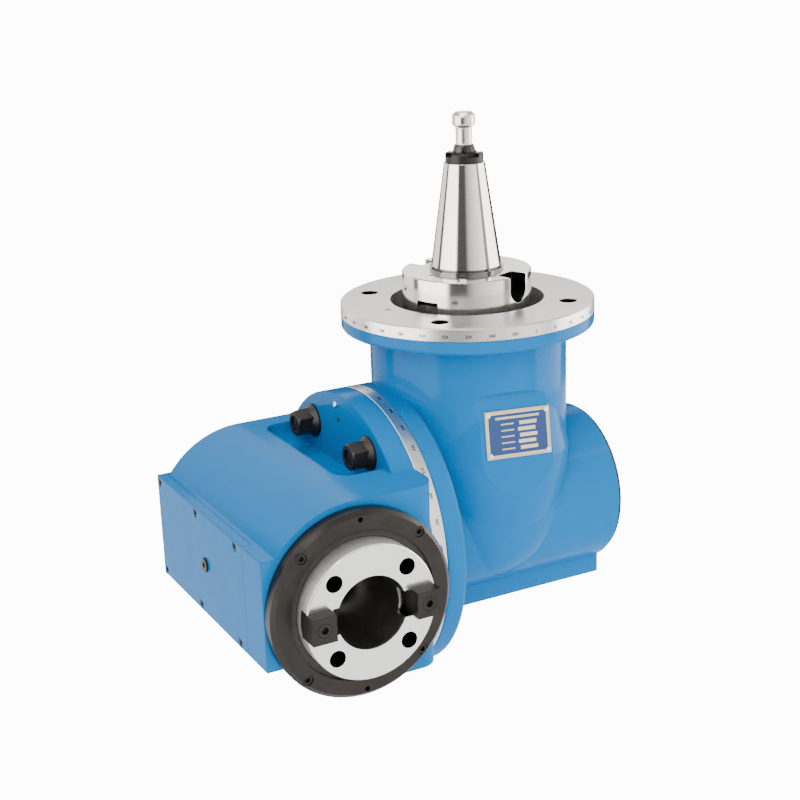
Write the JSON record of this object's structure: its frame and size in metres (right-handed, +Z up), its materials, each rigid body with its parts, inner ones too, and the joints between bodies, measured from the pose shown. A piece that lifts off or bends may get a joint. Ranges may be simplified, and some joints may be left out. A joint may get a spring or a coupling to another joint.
{
  "type": "swivelling angle head",
  "caption": "Two-way swivelling milling head: taper shank above, flared gear housing, and a graduated flange that carries a taper-nosed spindle.",
  "frame": {"origin": "centre of the mounting ring's top face, where the machine's head bolts on", "axes": "+Z up along the shank, +X along the swivel axis away from the spindle housing, -Y the way the spindle looks at rest"},
  "size_m": [0.4345, 0.336, 0.5474],
  "materials": {
    "blue_enamel": "gloss enamel on castings",
    "ground_steel": "ground",
    "black_oxide": "black oxide, satin",
    "plate_metal": "printed and lacquered",
    "seal_rubber": "matte",
    "bearing_steel": "polished",
    "gear_steel": "hardened and ground"
  },
  "bodies": {
    "mounting_ring": {"mounting_ring": "ground_steel", "retaining_nut": "ground_steel"},
    "gear_housing": {"gear_housing": "blue_enamel", "nameplate": "plate_metal", "nameplate_rivets": "plate_metal", "input_cartridge": "ground_steel", "input_cover": "ground_steel", "cartridge_screws": "black_oxide", "input_bearing_outer_rings": "bearing_steel", "cross_carrier": "ground_steel", "cross_bearing_outer_rings": "bearing_steel", "drum_end_cover": "black_oxide", "end_cover_screws": "black_oxide", "graduated_ring": "ground_steel", "slot_ring": "ground_steel", "scale_screws": "black_oxide"},
    "input_shaft": {"input_shaft": "ground_steel", "drive_collar": "ground_steel", "collar_screws": "black_oxide", "taper_shank": "ground_steel", "shank_end_ring": "black_oxide", "pull_stud": "ground_steel", "input_gear": "gear_steel", "input_gear_key": "black_oxide", "input_locknut": "black_oxide", "input_bearing_inner_rings": "bearing_steel", "input_bearing_rollers": "bearing_steel"},
    "cross_shaft": {"cross_shaft": "ground_steel", "cross_gear_left": "gear_steel", "cross_gear_right": "gear_steel", "cross_gear_keys": "black_oxide", "cross_spacer": "ground_steel", "cross_locknuts": "black_oxide", "cross_bearing_inner_rings": "bearing_steel", "cross_bearing_rollers": "bearing_steel"},
    "spindle_housing": {"spindle_housing": "blue_enamel", "side_cover": "blue_enamel", "side_cover_screws": "black_oxide", "oil_plug": "black_oxide", "front_cover": "black_oxide", "front_cover_screws": "black_oxide", "nose_seal": "seal_rubber", "rear_cover": "ground_steel", "rear_cover_screws": "black_oxide", "tee_bolts": "black_oxide", "flange_nuts": "black_oxide", "front_bearing_outer_rings": "bearing_steel", "rear_bearing_outer_rings": "bearing_steel"},
    "spindle": {"spindle": "ground_steel", "drive_keys": "black_oxide", "drive_key_screws": "black_oxide", "spindle_gear": "gear_steel", "spindle_gear_key": "black_oxide", "spindle_front_nut": "black_oxide", "spindle_rear_nut": "black_oxide", "front_bearing_inner_rings": "bearing_steel", "front_bearing_rollers": "bearing_steel", "rear_bearing_inner_rings": "bearing_steel", "rear_bearing_rollers": "bearing_steel"}
  },
  "joints": [
    {"name": "ring_swivel", "type": "hinge", "parent": "mounting_ring", "child": "gear_housing", "pos_m": [0, 0, 0], "axis": [0, 0, 1], "range_deg": [-180, 180]},
    {"name": "input_spin", "type": "hinge", "parent": "gear_housing", "child": "input_shaft", "pos_m": [0, 0, 0], "axis": [0, 0, 1], "continuous": true},
    {"name": "cross_spin", "type": "hinge", "parent": "gear_housing", "child": "cross_shaft", "pos_m": [0, 0, -0.221], "axis": [1, 0, 0], "continuous": true},
    {"name": "head_swivel", "type": "hinge", "parent": "gear_housing", "child": "spindle_housing", "pos_m": [0, 0, -0.221], "axis": [1, 0, 0], "range_deg": [-180, 180]},
    {"name": "spindle_spin", "type": "hinge", "parent": "spindle_housing", "child": "spindle", "pos_m": [-0.2095, 0, -0.221], "axis": [0, 1, 0], "continuous": true}
  ],
  "couplings": [
    {"joint": "cross_spin", "follows": "input_spin", "ratio": -1},
    {"joint": "spindle_spin", "follows": "input_spin", "ratio": 1}
  ]
}
